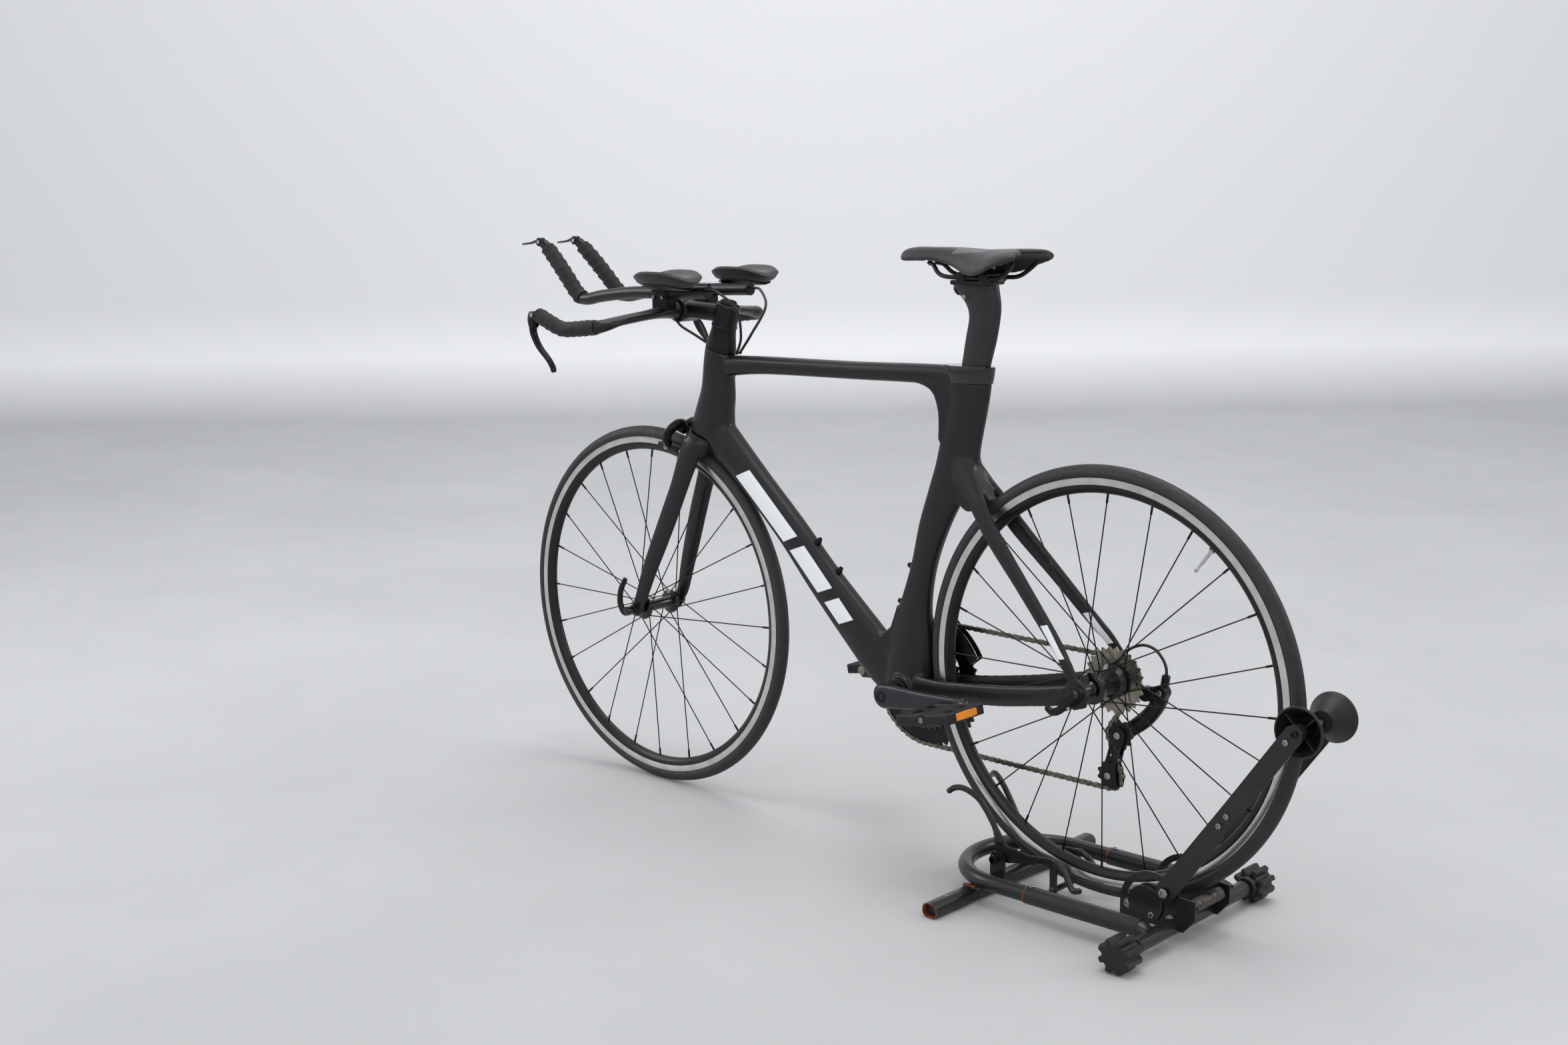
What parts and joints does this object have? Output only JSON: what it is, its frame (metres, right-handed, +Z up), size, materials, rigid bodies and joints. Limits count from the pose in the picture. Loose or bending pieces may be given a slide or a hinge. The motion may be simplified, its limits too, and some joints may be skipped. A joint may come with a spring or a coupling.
{
  "type": "bicycle on stand",
  "caption": "Black aero road bicycle with forward arm bars, its rear wheel held off the floor in a folding tubular stand.",
  "frame": {"origin": "middle of the bounding box at floor level", "axes": "+X towards the rear wheel and the stand, +Y towards the chain side, which is the rider's right, +Z up"},
  "size_m": [1.7264, 0.426, 1.0145],
  "materials": {
    "tyre": "matte black tread",
    "rim": "black anodised with machined brake tracks",
    "hub": "dark hubs with thin steel spokes",
    "steel": "nickel plated, lightly used",
    "frame": "satin charcoal black",
    "fork": "satin charcoal black",
    "black_alloy": "satin black anodised",
    "crank": "satin grey anodised",
    "grip_tape": "matte black wrapped tape",
    "saddle_cover": "smooth black cover with grey print",
    "foam_pad": "matte black foam",
    "silver_alloy": "satin silver",
    "cable_housing": "black sleeve",
    "moulded_plastic": "moulded black plastic",
    "pedal": "black with worn edges",
    "stand_paint": "black powder coat with rust at the joints",
    "spring_steel": "bare steel wire"
  },
  "bodies": {
    "frame_and_stand": {"frame_head_tube": "frame", "frame_top_tube": "frame", "frame_seat_tube": "frame", "frame_down_tube": "frame", "frame_chainstay_left": "frame", "frame_chainstay_right": "frame", "frame_seatstay_left": "frame", "frame_seatstay_right": "frame", "rear_derailleur": "silver_alloy", "derailleur_cage": "silver_alloy", "front_derailleur": "silver_alloy", "chain": "steel", "stand_front_loop": "stand_paint", "stand_front_bar": "stand_paint", "stand_rear_bar": "stand_paint", "stand_rail_left": "stand_paint", "stand_rail_right": "stand_paint", "stand_guard_left": "moulded_plastic", "stand_guard_right": "moulded_plastic", "stand_spring": "spring_steel"},
    "front_end": {"fork": "fork", "headset_cover": "black_alloy", "stem": "black_alloy", "base_bar": "grip_tape", "extension_left": "grip_tape", "extension_right": "grip_tape", "arm_pad_left": "foam_pad", "arm_pad_right": "foam_pad", "shift_cables": "cable_housing", "brake_cables": "cable_housing"},
    "front_wheel": {"front_tyre": "tyre", "front_rim": "rim", "front_hub": "hub"},
    "rear_wheel": {"rear_tyre": "tyre", "rear_rim": "rim", "rear_hub": "hub"},
    "cassette": {"cassette": "steel"},
    "cranks": {"crank_right": "crank", "crank_left": "crank"},
    "pedal_left": {"pedal_left": "pedal"},
    "pedal_right": {"pedal_right": "pedal"},
    "guide_pulley": {"guide_pulley": "moulded_plastic"},
    "tension_pulley": {"tension_pulley": "moulded_plastic"},
    "seatpost": {"seatpost": "frame", "saddle_rails": "steel", "saddle": "saddle_cover"},
    "brake_lever_left": {"brake_lever_left": "black_alloy"},
    "brake_lever_right": {"brake_lever_right": "black_alloy"},
    "front_brake_arm_left": {"front_brake_arm_left": "black_alloy"},
    "front_brake_arm_right": {"front_brake_arm_right": "black_alloy"},
    "shift_lever_left": {"shift_lever_left": "silver_alloy"},
    "shift_lever_right": {"shift_lever_right": "silver_alloy"},
    "front_qr_lever": {"front_qr_lever": "silver_alloy"},
    "rear_qr_lever": {"rear_qr_lever": "silver_alloy"},
    "stand_arm": {"stand_arm": "stand_paint"},
    "stand_cone_left": {"stand_cone_left": "moulded_plastic"},
    "stand_cone_right": {"stand_cone_right": "moulded_plastic"},
    "stand_knob_left": {"stand_knob_left": "moulded_plastic"},
    "stand_knob_right": {"stand_knob_right": "moulded_plastic"},
    "stand_cradle": {"stand_cradle": "stand_paint"}
  },
  "joints": [
    {"name": "steering", "type": "hinge", "parent": "frame_and_stand", "child": "front_end", "pos_m": [-0.3814, 0, 0.7], "axis": [0.2756, 0, 0.9613], "range_deg": [-40, 40], "deforming": ["shift_cables", "brake_cables"]},
    {"name": "front_wheel_spin", "type": "hinge", "parent": "front_end", "child": "front_wheel", "pos_m": [-0.5272, 0, 0.336], "axis": [0, 1, 0], "continuous": true},
    {"name": "rear_wheel_spin", "type": "hinge", "parent": "frame_and_stand", "child": "rear_wheel", "pos_m": [0.4742, 0, 0.35965], "axis": [0, 1, 0], "continuous": true},
    {"name": "crank_spin", "type": "hinge", "parent": "frame_and_stand", "child": "cranks", "pos_m": [0.0892, 0, 0.285], "axis": [0, 1, 0], "continuous": true},
    {"name": "cassette_spin", "type": "hinge", "parent": "frame_and_stand", "child": "cassette", "pos_m": [0.4742, 0, 0.35965], "axis": [0, 1, 0], "continuous": true},
    {"name": "pedal_left_spin", "type": "hinge", "parent": "cranks", "child": "pedal_left", "pos_m": [0.261, 0, 0.3003], "axis": [0, 1, 0], "continuous": true},
    {"name": "pedal_right_spin", "type": "hinge", "parent": "cranks", "child": "pedal_right", "pos_m": [-0.0826, 0, 0.2697], "axis": [0, 1, 0], "continuous": true},
    {"name": "guide_pulley_spin", "type": "hinge", "parent": "frame_and_stand", "child": "guide_pulley", "pos_m": [0.4722, 0, 0.268], "axis": [0, 1, 0], "continuous": true},
    {"name": "tension_pulley_spin", "type": "hinge", "parent": "frame_and_stand", "child": "tension_pulley", "pos_m": [0.4562, 0, 0.2], "axis": [0, 1, 0], "continuous": true},
    {"name": "seatpost_slide", "type": "slide", "parent": "frame_and_stand", "child": "seatpost", "axis": [0.235, 0, 0.972], "range_m": [0, 0.06]},
    {"name": "brake_lever_left_pull", "type": "hinge", "parent": "front_end", "child": "brake_lever_left", "pos_m": [-0.6098, -0.2, 0.886], "axis": [0, 1, 0], "range_deg": [-22, 0], "stiffness_Nm_per_rad": 0.6, "springref_deg": 5.73},
    {"name": "brake_lever_right_pull", "type": "hinge", "parent": "front_end", "child": "brake_lever_right", "pos_m": [-0.6098, 0.2, 0.886], "axis": [0, 1, 0], "range_deg": [-22, 0], "stiffness_Nm_per_rad": 0.6, "springref_deg": 5.73},
    {"name": "front_brake_arm_left_close", "type": "hinge", "parent": "front_end", "child": "front_brake_arm_left", "pos_m": [-0.4301, -0.009, 0.6734], "axis": [0.9613, 0, -0.2756], "range_deg": [0, 1.6], "stiffness_Nm_per_rad": 4},
    {"name": "front_brake_arm_right_close", "type": "hinge", "parent": "front_end", "child": "front_brake_arm_right", "pos_m": [-0.4301, 0.009, 0.6734], "axis": [0.9613, 0, -0.2756], "range_deg": [-1.6, 0], "stiffness_Nm_per_rad": 4},
    {"name": "shift_lever_left_turn", "type": "hinge", "parent": "front_end", "child": "shift_lever_left", "pos_m": [-0.7763, -0.043, 1.005], "axis": [0, 1, 0], "range_deg": [-30, 45]},
    {"name": "shift_lever_right_turn", "type": "hinge", "parent": "front_end", "child": "shift_lever_right", "pos_m": [-0.7763, 0.043, 1.005], "axis": [0, 1, 0], "range_deg": [-30, 45]},
    {"name": "front_qr_turn", "type": "hinge", "parent": "front_end", "child": "front_qr_lever", "pos_m": [-0.5272, 0, 0.336], "axis": [0, 1, 0], "range_deg": [-90, 60]},
    {"name": "rear_qr_turn", "type": "hinge", "parent": "frame_and_stand", "child": "rear_qr_lever", "pos_m": [0.4742, 0, 0.35965], "axis": [0, 1, 0], "range_deg": [-60, 60]},
    {"name": "stand_arm_swing", "type": "hinge", "parent": "frame_and_stand", "child": "stand_arm", "pos_m": [0.6242, 0, 0.08], "axis": [0, 1, 0], "range_deg": [0, 45], "stiffness_Nm_per_rad": 8, "springref_deg": -34.38},
    {"name": "stand_cone_left_spin", "type": "hinge", "parent": "stand_arm", "child": "stand_cone_left", "pos_m": [0.8262, 0, 0.362], "axis": [0, 1, 0], "continuous": true},
    {"name": "stand_cone_right_spin", "type": "hinge", "parent": "stand_arm", "child": "stand_cone_right", "pos_m": [0.8262, 0, 0.362], "axis": [0, 1, 0], "continuous": true},
    {"name": "stand_knob_left_turn", "type": "hinge", "parent": "frame_and_stand", "child": "stand_knob_left", "pos_m": [0.6322, 0, 0.027], "axis": [0, 1, 0], "continuous": true},
    {"name": "stand_knob_right_turn", "type": "hinge", "parent": "frame_and_stand", "child": "stand_knob_right", "pos_m": [0.6322, 0, 0.027], "axis": [0, 1, 0], "continuous": true},
    {"name": "stand_cradle_tilt", "type": "hinge", "parent": "frame_and_stand", "child": "stand_cradle", "pos_m": [0.3022, 0, 0.05], "axis": [0, 1, 0], "range_deg": [-1.5, 3]}
  ],
  "couplings": [
    {"joint": "cassette_spin", "follows": "crank_spin", "ratio": 3.5246},
    {"joint": "guide_pulley_spin", "follows": "crank_spin", "ratio": -4.8864},
    {"joint": "tension_pulley_spin", "follows": "crank_spin", "ratio": 4.8864},
    {"joint": "front_brake_arm_left_close", "follows": "brake_lever_right_pull", "ratio": -0.072},
    {"joint": "front_brake_arm_right_close", "follows": "brake_lever_right_pull", "ratio": 0.072}
  ]
}
